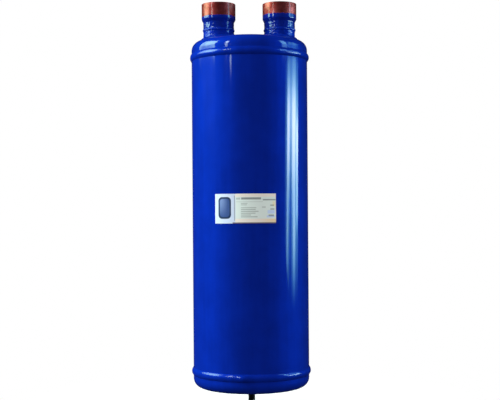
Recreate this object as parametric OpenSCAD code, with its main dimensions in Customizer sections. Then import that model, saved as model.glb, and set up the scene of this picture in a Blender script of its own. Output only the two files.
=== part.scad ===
// Suction line accumulator: a welded steel vessel with two copper solder sockets on its top head,
// a U tube inside and a threaded stud under its bottom head. Sizes are in millimetres.
// The origin is on the vessel's axis at the stud's seat. +Z is up, and the label faces -Y.

/* [Vessel body] */
// Outside diameter of the body tube and of both heads
shell_od = 127; // [122:1:150]
// Wall of the body tube
shell_wall = 3; // [2:0.5:4]
// Length of the body tube between its weld edges
shell_len = 340.6; // [260:0.1:450]

/* [Dished heads] */
// Wall of both heads
head_wall = 3; // [2:0.5:4]
// Outside radius of the knuckle between flange and crown
head_knuckle = 10; // [7:0.5:16]
// Outside radius of the shallow crown
head_crown = 300; // [200:5:450]
// Straight flange between weld and knuckle
head_flange = 6.8; // [4:0.1:20]

/* [Girth welds] */
// Root gap between head and body tube
weld_gap = 2; // [1:0.5:3]
// Width of the weld's cap
weld_width = 8.5; // [6:0.5:11]
// Height of the weld's cap above the body
weld_proud = 1.8; // [0.6:0.1:2.6]

/* [Nipples] */
// Distance between the two connection axes
port_spacing = 67; // [62:0.5:69]
// Outside diameter of the steel nipples and of the copper necks on them
neck_od = 33.7; // [33:0.1:35]
// Wall of the steel nipples
nipple_wall = 3.2; // [2:0.1:4]
// Height of the nipples' upper ends above the crown's top
nipple_rise = 7.3; // [6:0.1:20]
// Depth of the nipples' lower ends below the crown's top
nipple_drop = 12; // [10:0.5:20]
// Radial clearance of the nipples in the top head
nipple_clear = 0.1; // [0.05:0.05:0.3]
// Leg of the fillet weld round a nipple
nipple_weld_leg = 4; // [2.5:0.5:5]

/* [Copper sockets] */
// Bore of the solder socket
socket_bore = 35.1; // [34.5:0.05:36]
// Wall of the drawn copper
socket_wall = 1.05; // [0.8:0.05:1.4]
// Depth of the socket's straight bore
socket_depth = 17; // [12:0.5:26]
// Height of the cone between neck and socket
socket_step = 3.4; // [2:0.1:6]
// Straight copper neck between braze and cone
copper_neck = 7.9; // [4:0.1:16]
// Gap between nipple and copper neck, filled by the braze
braze_gap = 1; // [0.5:0.1:1.6]
// Width of the braze bead
braze_width = 3.2; // [2:0.1:4]
// Height of the braze bead above the neck
braze_proud = 0.7; // [0.3:0.1:1.2]

/* [U tube] */
// Outside diameter of the U tube and of the deflector's sleeve
tube_od = 28.6; // [26:0.1:29.6]
// Wall of the U tube and of the deflector
tube_wall = 1.5; // [1:0.1:2]
// Radial clearance of their drawn ends in the nipples
tube_clear = 0.05; // [0.02:0.01:0.1]
// Length of the drawn ends inside the nipples
tube_seat = 14; // [8:0.5:18]
// Length of the taper below a nipple, from the tube's own diameter to its drawn end
tube_taper = 5; // [3:0.5:10]
// Distance of the open leg from the vessel's axis
leg_radius = 36; // [32:0.5:38]
// Angle of the open leg about the vessel's axis, from the outlet
leg_angle = 115; // [105:1:125]
// Depth of the open leg's mouth below the crown's top
mouth_drop = 33; // [20:1:60]
// Height of the U bend above the bottom head's inside
bend_clear = 16; // [14:0.5:30]
// Diameter of the hole that breaks the siphon
siphon_hole = 3; // [2:0.5:5]
// Depth of that hole below the crown's top
siphon_drop = 30; // [25:1:60]

/* [Inlet deflector] */
// Depth of the deflector's closed end below the crown's top
deflector_drop = 55; // [45:1:80]
// Height of the deflector's side window
window_height = 30; // [20:1:32]

/* [Oil return] */
// Diameter of the orifice plug
plug_d = 8; // [6:0.5:9]
// Radial clearance of the plug in its hole and in its collar
plug_clear = 0.05; // [0.02:0.01:0.1]
// Length of the plug below the bend
plug_len = 6; // [4:0.5:8]
// Length of the plug inside the U tube's bore
plug_inside = 1; // [0.5:0.5:3]
// Diameter of the metering orifice
orifice_d = 1.6; // [1:0.1:3]
// Outside diameter of the screen's collar
collar_od = 14; // [12:0.5:16]
// Height of the screen's collar
collar_height = 3; // [2:0.5:3.5]
// Length of the screen cup below the bend
screen_len = 10; // [8.5:0.5:12]
// Wall of the screen cup
screen_wall = 0.6; // [0.4:0.1:1]
// Diameter of the screen's holes
screen_hole = 2; // [1:0.1:2.4]
// Number of holes in each ring of the screen
screen_holes = 10; // [6:1:12]

/* [Brace] */
// Height of the brace above the body tube's lower edge
brace_height = 172; // [80:1:240]
// Thickness of the brace plate
brace_t = 3; // [2:0.5:5]
// Width of the plate round each leg
brace_rim = 5; // [3:0.5:7]
// Radial clearance of the legs in the plate
brace_clear = 0.2; // [0.1:0.05:0.4]
// Width of the tongue that meets the body wall
tongue_width = 24; // [16:1:36]
// Leg of the weld between tongue and wall
brace_weld_leg = 3; // [2:0.5:4]

/* [Mounting stud] */
// Thread diameter of the stud
stud_d = 8; // [6:1:10]
// Free length of the stud below its seat
stud_len = 18; // [12:1:30]
// Chamfer at the stud's end
stud_chamfer = 1; // [0.5:0.1:1.5]
// Diameter of the stud's welded collar
stud_collar_d = 12; // [12:0.5:16]
// Height of the collar between seat and bottom head
stud_collar_height = 2; // [1.6:0.1:4]
// Leg of the fillet weld round the collar
stud_weld_leg = 1.5; // [1:0.1:1.6]

/* [Label] */
// Width of the label along the body's curve
label_width = 66.6; // [40:0.1:100]
// Height of the label
label_height = 31; // [20:1:60]
// Thickness of the label's film
label_t = 0.2; // [0.1:0.05:0.4]
// Thickness of the adhesive between body and label
label_glue = 0.1; // [0.05:0.05:0.2]
// Turn of the label's middle to the right of the front
label_turn = -5.3; // [-30:0.1:30]
// Height of the label's middle above the body tube's middle
label_lift = 6; // [-60:1:60]

/* [Hidden] */
$fn = 96;

// Extra depth of a cut past the face that it opens
cut = 1;

// Depth of a fillet face's centre behind both of its walls, as a share of the fillet's leg
fillet_sink = 0.3;

// Side of the vessel's axis, along X, on which a connection stands
inlet = -1;
outlet = 1;

// Body tube and heads
shell_r = shell_od / 2;
shell_inner_r = shell_r - shell_wall;
knuckle_x = shell_r - head_knuckle;
crown_reach = head_crown - head_knuckle;
head_height = head_crown - sqrt(crown_reach * crown_reach - knuckle_x * knuckle_x);
crown_spread = asin(knuckle_x / crown_reach);

// Heights from the stud's seat upwards
bottom_apex = stud_collar_height;
bottom_edge = bottom_apex + head_height + head_flange;
shell_low = bottom_edge + weld_gap;
shell_high = shell_low + shell_len;
top_edge = shell_high + weld_gap;
top_apex = top_edge + head_flange + head_height;

// Connections
neck_r = neck_od / 2;
port_x = port_spacing / 2;
port_tilt = asin(port_x / head_crown);
copper_low = nipple_rise + braze_gap;
cone_low = copper_low + copper_neck;
cone_high = cone_low + socket_step;
socket_top = cone_high + socket_depth;
socket_r = socket_bore / 2 + socket_wall;

// U tube: the outlet leg stands under the outlet, the open leg beside the inlet
tube_r = tube_od / 2;
drawn_r = neck_r - nipple_wall - tube_clear;
outlet_leg = [port_x, 0];
open_leg = [leg_radius * cos(leg_angle), leg_radius * sin(leg_angle)];
leg_span = open_leg - outlet_leg;
bend_mid = (open_leg + outlet_leg) / 2;
bend_r = norm(leg_span) / 2;
bend_turn = atan2(leg_span.y, leg_span.x);
bend_bottom = bottom_apex + head_wall + bend_clear;
bend_z = bend_bottom + tube_r + bend_r;
tube_top = top_apex - nipple_drop + tube_seat;
mouth_z = top_apex - mouth_drop;

// Oil return: distance of the screen's rim below the bend, and its ring spacing
rim_drop = 0.2;
screen_rings = 2;
screen_pitch = (screen_len - collar_height - screen_wall) / (screen_rings + 1);
cup_bore_r = collar_od / 2 + plug_clear;

// Brace and label
brace_z = shell_low + brace_height;
brace_r = tube_r + brace_rim;
tongue_turn = atan2(bend_mid.y, bend_mid.x);
tongue_spread = 2 * asin(tongue_width / 2 / shell_inner_r);
label_z = (shell_low + shell_high) / 2 + label_lift;
label_spread = 360 * label_width / (PI * shell_od);
front = -90;

paint = "mediumblue";
copper = "peru";
steel = "silver";

// Half section inside a head's surface, its open edge at height 0 less below, its crown upwards
module head_section(inset, below) {
    crown_top = head_flange + head_height + head_knuckle;
    crown_edge = knuckle_x + (head_height + head_knuckle) * tan(crown_spread);
    translate([0, -below]) square([shell_r - inset, head_flange + below]);
    translate([knuckle_x, head_flange]) intersection() {
        circle(r = head_knuckle - inset);
        square(head_knuckle);
    }
    intersection() {
        translate([0, head_flange + head_height - head_crown]) circle(r = head_crown - inset, $fn = 720);
        polygon([[0, head_flange], [knuckle_x, head_flange], [crown_edge, crown_top], [0, crown_top]]);
    }
}

// Solid that fills a head to its outer surface
module head_form() {
    rotate_extrude() head_section(0, 0);
}

// A pressed head with its wall, edge at height 0
module head_pressing() {
    rotate_extrude() difference() {
        head_section(0, 0);
        head_section(head_wall, cut);
    }
}

module at_top() {
    translate([0, 0, top_edge]) children();
}

module at_bottom() {
    translate([0, 0, bottom_edge]) rotate([180, 0, 0]) children();
}

// A connection's axis, with height 0 at the crown's top
module at_port(side) {
    translate([side * port_x, 0, top_apex]) children();
}

// Section of a butt weld on a round wall: the root fills the gap, the cap is an arc above it
module butt_weld_section(surface_r, depth, gap, width, proud) {
    cap_r = (width * width / 4 + proud * proud) / (2 * proud);
    translate([surface_r - depth, -gap / 2]) square([depth, gap]);
    intersection() {
        translate([surface_r + proud - cap_r, 0]) circle(r = cap_r);
        translate([surface_r, -width]) square([cap_r, 2 * width]);
    }
}

// Section of a fillet weld outside a round wall that stands on height 0, with a slightly convex face.
// It reaches below height 0 and into the wall, to be trimmed by both.
module fillet_section(wall_r, leg) {
    sink = fillet_sink * leg;
    face_r = norm([leg + sink, sink]);
    intersection() {
        translate([wall_r - sink, -sink]) circle(r = face_r);
        translate([wall_r - leg, -leg]) square([3 * leg, 3 * leg]);
    }
}

// Section of a tube's wall, standing upright
module tube_wall_section(od, wall) {
    difference() {
        circle(d = od);
        circle(d = od - 2 * wall);
    }
}

module girth_weld() {
    depth = min(shell_wall, head_wall);
    rotate_extrude() butt_weld_section(shell_r, depth, weld_gap, weld_width, weld_proud);
}

module nipple(side) {
    at_port(side) translate([0, 0, -nipple_drop]) linear_extrude(nipple_drop + nipple_rise)
        tube_wall_section(neck_od, nipple_wall);
}

// The fillet follows the crown, so it is tilted with the crown's surface under the nipple
module nipple_weld(side) {
    difference() {
        translate([0, 0, top_apex - head_crown]) rotate([0, side * port_tilt, 0])
            translate([0, 0, head_crown]) rotate_extrude() fillet_section(neck_r, nipple_weld_leg);
        at_top() head_form();
        at_port(side) translate([0, 0, -nipple_drop]) cylinder(r = neck_r, h = nipple_drop + socket_top);
    }
}

module braze_ring(side) {
    at_port(side) translate([0, 0, nipple_rise + braze_gap / 2]) rotate_extrude()
        butt_weld_section(neck_r, socket_wall, braze_gap, braze_width, braze_proud);
}

module socket(side) {
    at_port(side) rotate_extrude() polygon([
        [neck_r, copper_low],
        [neck_r, cone_low],
        [socket_r, cone_high],
        [socket_r, socket_top],
        [socket_bore / 2, socket_top],
        [socket_bore / 2, cone_high],
        [neck_r - socket_wall, cone_low],
        [neck_r - socket_wall, copper_low]
    ]);
}

module shell_tube() {
    color(paint) translate([0, 0, shell_low]) linear_extrude(shell_len)
        tube_wall_section(shell_od, shell_wall);
}

module top_head() {
    hole_r = neck_r + nipple_clear;
    color(paint) difference() {
        at_top() head_pressing();
        for (side = [inlet, outlet])
            at_port(side) translate([0, 0, -head_height - head_flange])
                cylinder(r = hole_r, h = head_height + head_flange + cut);
    }
}

module bottom_head() {
    color(paint) at_bottom() head_pressing();
}

module top_girth_weld() {
    color(paint) translate([0, 0, shell_high + weld_gap / 2]) girth_weld();
}

module bottom_girth_weld() {
    color(paint) translate([0, 0, shell_low - weld_gap / 2]) girth_weld();
}

module inlet_nipple() {
    color(paint) nipple(inlet);
}

module outlet_nipple() {
    color(paint) nipple(outlet);
}

module inlet_nipple_weld() {
    color(paint) nipple_weld(inlet);
}

module outlet_nipple_weld() {
    color(paint) nipple_weld(outlet);
}

module inlet_braze_ring() {
    color(paint) braze_ring(inlet);
}

module outlet_braze_ring() {
    color(paint) braze_ring(outlet);
}

module inlet_socket() {
    color(copper) socket(inlet);
}

module outlet_socket() {
    color(copper) socket(outlet);
}

// A tube from height 0 that ends in a taper and a drawn end, which fits the bore of a nipple
module drawn_tube(length) {
    nipple_end = length - tube_seat;
    taper_low = nipple_end - tube_taper;
    rotate_extrude() polygon([
        [tube_r, 0],
        [tube_r, taper_low],
        [drawn_r, nipple_end],
        [drawn_r, length],
        [drawn_r - tube_wall, length],
        [drawn_r - tube_wall, nipple_end],
        [tube_r - tube_wall, taper_low],
        [tube_r - tube_wall, 0]
    ]);
}

// A sleeve with a closed end, open on its front half so that the flow meets the body wall
module inlet_deflector() {
    length = deflector_drop - nipple_drop + tube_seat;
    color(steel) at_port(inlet) translate([0, 0, -deflector_drop]) {
        cylinder(d = tube_od, h = tube_wall);
        difference() {
            translate([0, 0, tube_wall]) drawn_tube(length - tube_wall);
            translate([-tube_od, -tube_od, tube_wall]) cube([2 * tube_od, tube_od, window_height]);
        }
    }
}

// The bend's own frame: the outlet leg stands at -X, the open leg at +X, height 0 at the bend's ends
module at_bend() {
    translate([bend_mid.x, bend_mid.y, bend_z]) rotate([0, 0, bend_turn]) children();
}

// The same frame in plan
module at_bend_plan() {
    translate(bend_mid) rotate(bend_turn) children();
}

module u_tube() {
    color(steel) at_bend() difference() {
        union() {
            translate([-bend_r, 0, 0]) drawn_tube(tube_top - bend_z);
            translate([bend_r, 0, 0]) linear_extrude(mouth_z - bend_z)
                tube_wall_section(tube_od, tube_wall);
            rotate([-90, 0, 0]) rotate_extrude(angle = 180) translate([bend_r, 0])
                tube_wall_section(tube_od, tube_wall);
        }
        translate([0, 0, -bend_r - tube_r - cut])
            cylinder(d = plug_d + 2 * plug_clear, h = tube_wall + 2 * cut);
        translate([-bend_r, 0, top_apex - siphon_drop - bend_z]) rotate([90, 0, 0])
            cylinder(d = siphon_hole, h = tube_od);
    }
}

// The oil return's axis, with height 0 at the lowest point of the U bend
module at_oil_return() {
    translate([bend_mid.x, bend_mid.y, bend_bottom]) children();
}

module oil_orifice() {
    length = plug_len + tube_wall + plug_inside;
    color("goldenrod") at_oil_return() translate([0, 0, -plug_len]) linear_extrude(length)
        tube_wall_section(plug_d, (plug_d - orifice_d) / 2);
}

module screen_collar() {
    wall = (collar_od - plug_d) / 2 - plug_clear;
    color(steel) at_oil_return() translate([0, 0, -rim_drop - collar_height])
        linear_extrude(collar_height) tube_wall_section(collar_od, wall);
}

module oil_screen() {
    outer_r = cup_bore_r + screen_wall;
    color(steel) at_oil_return() translate([0, 0, -screen_len]) difference() {
        cylinder(r = outer_r, h = screen_len - rim_drop);
        translate([0, 0, screen_wall]) cylinder(r = cup_bore_r, h = screen_len);
        for (ring = [1 : screen_rings], i = [0 : screen_holes - 1])
            rotate([0, 0, 360 * (i + ring / 2) / screen_holes])
                translate([cup_bore_r - cut, 0, screen_wall + ring * screen_pitch]) rotate([0, 90, 0])
                    cylinder(d = screen_hole, h = screen_wall + 2 * cut);
    }
}

// Outline of the brace: a rim round each leg, a bar between them and a tongue to the body wall
module brace_outline() {
    at_bend_plan() {
        for (x = [-bend_r, bend_r])
            translate([x, 0]) circle(r = brace_r);
        translate([-bend_r, -brace_r / 2]) square([2 * bend_r, brace_r]);
    }
    rotate(tongue_turn) translate([norm(bend_mid), -tongue_width / 2]) square([shell_r, tongue_width]);
}

// A plate round both legs that ends on the body tube's inner face
module u_tube_brace() {
    color(steel) translate([0, 0, brace_z]) linear_extrude(brace_t) difference() {
        intersection() {
            brace_outline();
            circle(r = shell_inner_r);
        }
        at_bend_plan() for (x = [-bend_r, bend_r])
            translate([x, 0]) circle(r = tube_r + brace_clear);
    }
}

module brace_weld() {
    color(steel) translate([0, 0, brace_z + brace_t]) rotate([0, 0, tongue_turn - tongue_spread / 2])
        rotate_extrude(angle = tongue_spread) intersection() {
            translate([shell_inner_r, 0]) circle(r = brace_weld_leg);
            translate([shell_inner_r - brace_weld_leg, 0]) square(brace_weld_leg);
        }
}

module mounting_stud() {
    color("dimgray") {
        translate([0, 0, -stud_len]) cylinder(d1 = stud_d - 2 * stud_chamfer, d2 = stud_d, h = stud_chamfer);
        translate([0, 0, stud_chamfer - stud_len]) cylinder(d = stud_d, h = stud_len - stud_chamfer);
        difference() {
            cylinder(d = stud_collar_d, h = stud_collar_height + cut);
            at_bottom() head_form();
        }
    }
}

module stud_weld() {
    color(paint) difference() {
        translate([0, 0, bottom_apex]) rotate([180, 0, 0]) rotate_extrude()
            fillet_section(stud_collar_d / 2, stud_weld_leg);
        at_bottom() head_form();
        translate([0, 0, -cut]) cylinder(d = stud_collar_d, h = stud_collar_height + 2 * cut);
    }
}

module rating_label() {
    color("whitesmoke") translate([0, 0, label_z]) rotate([0, 0, front + label_turn - label_spread / 2])
        rotate_extrude(angle = label_spread)
            translate([shell_r + label_glue, -label_height / 2]) square([label_t, label_height]);
}

shell_tube();
top_head();
bottom_head();
top_girth_weld();
bottom_girth_weld();
inlet_nipple();
outlet_nipple();
inlet_nipple_weld();
outlet_nipple_weld();
inlet_braze_ring();
outlet_braze_ring();
inlet_socket();
outlet_socket();
inlet_deflector();
u_tube();
oil_orifice();
screen_collar();
oil_screen();
u_tube_brace();
brace_weld();
mounting_stud();
stud_weld();
rating_label();
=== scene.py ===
"""Looks of the suction line accumulator: paint, welds, copper sockets, stud thread, label and studio."""

import logging
import math
from abc import ABC, abstractmethod
from dataclasses import dataclass
from enum import Enum
from typing import Any, Sequence

import bmesh
import bpy
import numpy as np
from mathutils import Matrix, Vector


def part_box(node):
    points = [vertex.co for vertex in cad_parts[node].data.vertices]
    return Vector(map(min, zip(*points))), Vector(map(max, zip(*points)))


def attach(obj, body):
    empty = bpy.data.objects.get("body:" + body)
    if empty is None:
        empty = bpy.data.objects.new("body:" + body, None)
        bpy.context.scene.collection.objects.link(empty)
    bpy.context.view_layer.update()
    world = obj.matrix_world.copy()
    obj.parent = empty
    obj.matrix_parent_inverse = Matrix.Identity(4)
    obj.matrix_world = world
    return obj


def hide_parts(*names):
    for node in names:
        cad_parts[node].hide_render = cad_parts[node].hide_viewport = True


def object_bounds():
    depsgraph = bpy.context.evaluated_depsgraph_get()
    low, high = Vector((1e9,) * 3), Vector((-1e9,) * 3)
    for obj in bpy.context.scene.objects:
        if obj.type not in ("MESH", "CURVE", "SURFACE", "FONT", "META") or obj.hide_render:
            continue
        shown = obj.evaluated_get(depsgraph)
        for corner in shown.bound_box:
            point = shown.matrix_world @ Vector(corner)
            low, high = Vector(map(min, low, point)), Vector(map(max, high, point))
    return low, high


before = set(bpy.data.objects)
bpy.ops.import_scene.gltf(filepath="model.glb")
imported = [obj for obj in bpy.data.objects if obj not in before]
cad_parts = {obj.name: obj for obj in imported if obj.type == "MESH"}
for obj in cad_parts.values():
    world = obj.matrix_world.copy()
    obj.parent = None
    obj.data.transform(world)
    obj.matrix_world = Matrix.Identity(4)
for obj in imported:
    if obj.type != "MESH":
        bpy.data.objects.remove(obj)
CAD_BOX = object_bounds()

LOG = logging.getLogger("accumulator")
MM = 0.001
ROOT = "root"
WAVE_STEPS = 8
SHARP_ANGLE = math.radians(38.0)
Colour = tuple[float, float, float]
Point = tuple[float, float]
Box = tuple[float, float, float, float]


class Signal:
    """One output socket of a node, with arithmetic that adds Math nodes."""

    def __init__(self, graph: "Graph", socket: bpy.types.NodeSocket) -> None:
        """Keeps the graph and the socket."""
        self.graph = graph
        self.socket = socket

    def __add__(self, other: "Number") -> "Signal":
        """Adds a number or a signal."""
        return self.graph.math("ADD", self, other)

    def __radd__(self, other: "Number") -> "Signal":
        """Adds the signal to a number."""
        return self.graph.math("ADD", other, self)

    def __sub__(self, other: "Number") -> "Signal":
        """Takes away a number or a signal."""
        return self.graph.math("SUBTRACT", self, other)

    def __rsub__(self, other: "Number") -> "Signal":
        """Takes the signal away from a number."""
        return self.graph.math("SUBTRACT", other, self)

    def __mul__(self, other: "Number") -> "Signal":
        """Multiplies by a number or a signal."""
        return self.graph.math("MULTIPLY", self, other)

    def __rmul__(self, other: "Number") -> "Signal":
        """Multiplies a number by the signal."""
        return self.graph.math("MULTIPLY", other, self)

    def __truediv__(self, other: "Number") -> "Signal":
        """Divides by a number or a signal."""
        return self.graph.math("DIVIDE", self, other)

    def __rtruediv__(self, other: "Number") -> "Signal":
        """Divides a number by the signal."""
        return self.graph.math("DIVIDE", other, self)

    def __neg__(self) -> "Signal":
        """Turns the sign."""
        return self.graph.math("MULTIPLY", self, -1.0)

    def __abs__(self) -> "Signal":
        """Drops the sign."""
        return self.graph.math("ABSOLUTE", self)

    def root(self) -> "Signal":
        """Square root."""
        return self.graph.math("SQRT", self)

    def fract(self) -> "Signal":
        """Part after the point."""
        return self.graph.math("FRACT", self)

    def floor(self) -> "Signal":
        """Next whole number below."""
        return self.graph.math("FLOOR", self)

    def most(self, other: "Number") -> "Signal":
        """Larger of the two."""
        return self.graph.math("MAXIMUM", self, other)

    def least(self, other: "Number") -> "Signal":
        """Smaller of the two."""
        return self.graph.math("MINIMUM", self, other)

    def rise(self, low: float, high: float) -> "Signal":
        """Smooth step of the signal.

        Args:
            low: Value at and below which the step is 0.
            high: Value at and above which it is 1.

        Returns:
            The step.
        """
        return self.graph.node(
            "ShaderNodeMapRange",
            {"interpolation_type": "SMOOTHSTEP"},
            {"Value": self, "From Min": low, "From Max": high},
        )["Result"]


Number = Signal | float | int


class Outputs:
    """The outputs of one new node, by name."""

    def __init__(self, graph: "Graph", node: bpy.types.Node) -> None:
        """Keeps the graph and the node."""
        self.graph = graph
        self.node = node

    def __getitem__(self, key: str) -> Signal:
        """The shown output of that name."""
        return Signal(self.graph, next(s for s in self.node.outputs if s.name == key and s.enabled))


class Graph:
    """A node tree that is filled by calls."""

    def __init__(self, tree: bpy.types.NodeTree) -> None:
        """Keeps the tree."""
        self.tree = tree

    @classmethod
    def of(cls, owner: bpy.types.Material | bpy.types.World | bpy.types.Light) -> "Graph":
        """Empties an owner's own node tree.

        Args:
            owner: What the nodes belong to.

        Returns:
            The empty graph.
        """
        owner.use_nodes = True
        owner.node_tree.nodes.clear()
        return cls(owner.node_tree)

    def node(
        self,
        kind: str,
        settings: dict[str, Any] | None = None,
        inputs: dict[str | int, Any] | None = None,
    ) -> Outputs:
        """Adds a node.

        Args:
            kind: The node's type.
            settings: Its own properties, set first.
            inputs: Values or signals for its sockets, by name or by place.

        Returns:
            The node's outputs.
        """
        made = self.tree.nodes.new(kind)
        for key, value in (settings or {}).items():
            setattr(made, key, value)
        for key, value in (inputs or {}).items():
            if isinstance(key, int):
                socket = made.inputs[key]
            else:
                socket = next(s for s in made.inputs if s.name == key and s.enabled)
            if isinstance(value, Signal):
                self.tree.links.new(value.socket, socket)
            elif socket.type == "RGBA" and len(value) == 3:
                socket.default_value = (*value, 1.0)
            else:
                socket.default_value = value
        return Outputs(self, made)

    def math(self, operation: str, *values: Number) -> Signal:
        """Adds a Math node for these values."""
        return self.node("ShaderNodeMath", {"operation": operation}, dict(enumerate(values)))["Value"]

    def place(self) -> Signal:
        """Object coordinates."""
        return self.node("ShaderNodeTexCoord")["Object"]

    def split(self, vector: Signal) -> tuple[Signal, Signal, Signal]:
        """Takes a vector apart.

        Args:
            vector: The vector.

        Returns:
            Its three parts.
        """
        parts = self.node("ShaderNodeSeparateXYZ", None, {"Vector": vector})
        return parts["X"], parts["Y"], parts["Z"]

    def scaled(self, vector: Signal, by: Sequence[float]) -> Signal:
        """A vector stretched along its axes."""
        return self.node("ShaderNodeMapping", None, {"Vector": vector, "Scale": by})["Vector"]

    def noise(self, vector: Signal, scale: float, detail: float = 2.0, rough: float = 0.5) -> Signal:
        """Cloud noise from about 0 to 1.

        Args:
            vector: Where it is read.
            scale: Clouds for each unit of length.
            detail: Number of finer layers.
            rough: Weight of the finer layers.

        Returns:
            The noise's value.
        """
        return self.node(
            "ShaderNodeTexNoise",
            None,
            {"Vector": vector, "Scale": scale, "Detail": detail, "Roughness": rough},
        )["Fac"]

    def blend(self, low: Signal | Colour, high: Signal | Colour, factor: Number) -> Signal:
        """A colour between two.

        Args:
            low: Colour at factor 0.
            high: Colour at factor 1.
            factor: Share of the second colour.

        Returns:
            The mixed colour.
        """
        return self.node(
            "ShaderNodeMix", {"data_type": "RGBA"}, {"Factor": factor, "A": low, "B": high}
        )["Result"]

    def relief(self, height: Signal) -> Signal:
        """Bends the normal by a relief.

        Args:
            height: The relief's height in metres.

        Returns:
            The bent normal.
        """
        return self.node(
            "ShaderNodeBump", None, {"Strength": 1.0, "Distance": 1.0, "Height": height}
        )["Normal"]


@dataclass
class Channels:
    """What changes over one surface: colour, roughness, metal share, height in metres and clear coat."""

    colour: Signal
    rough: Signal
    metal: Number
    height: Signal
    coat: Number = 0.0


class Finish(ABC):
    """The look of one surface, from which a material is made."""

    @abstractmethod
    def channels(self, graph: Graph) -> Channels:
        """The finish's channels in that graph.

        Args:
            graph: Where its nodes go.

        Returns:
            What changes over the surface.
        """

    def constants(self) -> dict[str, Any]:
        """Sockets of the shader that stay the same all over."""
        return {}

    def material(self, name: str) -> bpy.types.Material:
        """Makes the finish a material around a Principled shader.

        Args:
            name: The material's name.

        Returns:
            The material.
        """
        material = bpy.data.materials.new(name)
        graph = Graph.of(material)
        channels = self.channels(graph)
        shader = graph.node(
            "ShaderNodeBsdfPrincipled",
            None,
            {
                "Base Color": channels.colour,
                "Roughness": channels.rough,
                "Metallic": channels.metal,
                "Coat Weight": channels.coat,
                "Normal": graph.relief(channels.height),
                **self.constants(),
            },
        )
        graph.node("ShaderNodeOutputMaterial", None, {"Surface": shader["BSDF"]})
        return material


@dataclass(frozen=True)
class BodySizes:
    """Sizes of the vessel's body that its pieces and its paint share, with heights from the stud's seat.

    Attributes:
        radius: Outside radius of the tube and both heads.
        wall: Wall of the tube and both heads.
        length: Length of the tube between its weld edges.
        crown: Outside radius of a head's shallow dish.
        knuckle: Outside radius of the bend between dish and flange.
        flange: Straight part of a head, from the bend to the weld.
        root: Width of a girth weld's root.
        stand: Height of the bottom head's lowest point.
    """

    radius: float = 63.5 * MM
    wall: float = 3.0 * MM
    length: float = 340.6 * MM
    crown: float = 300.0 * MM
    knuckle: float = 10.0 * MM
    flange: float = 6.8 * MM
    root: float = 2.0 * MM
    stand: float = 2.0 * MM

    @property
    def knuckle_at(self) -> float:
        """Radius at which the knuckle's centre runs."""
        return self.radius - self.knuckle

    @property
    def head_height(self) -> float:
        """Height of a head's dish and bend above its flange."""
        return self.crown - math.sqrt((self.crown - self.knuckle) ** 2 - self.knuckle_at**2)

    @property
    def bottom_tangent(self) -> float:
        """Height at which the bottom head's bend meets its flange."""
        return self.stand + self.head_height

    @property
    def tube_low(self) -> float:
        """Height of the tube's lower edge."""
        return self.bottom_tangent + self.flange + self.root

    @property
    def tube_high(self) -> float:
        """Height of the tube's upper edge."""
        return self.tube_low + self.length

    @property
    def top_tangent(self) -> float:
        """Height at which the top head's bend meets its flange."""
        return self.tube_high + self.root + self.flange

    @property
    def apex(self) -> float:
        """Height of the top head's highest point."""
        return self.top_tangent + self.head_height


class Wall(Enum):
    """Which kind of piece a coat of paint lies on, and so where its bare inside is."""

    SOLID = "solid"
    TUBE = "tube"
    TOP_HEAD = "top_head"
    BOTTOM_HEAD = "bottom_head"


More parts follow.
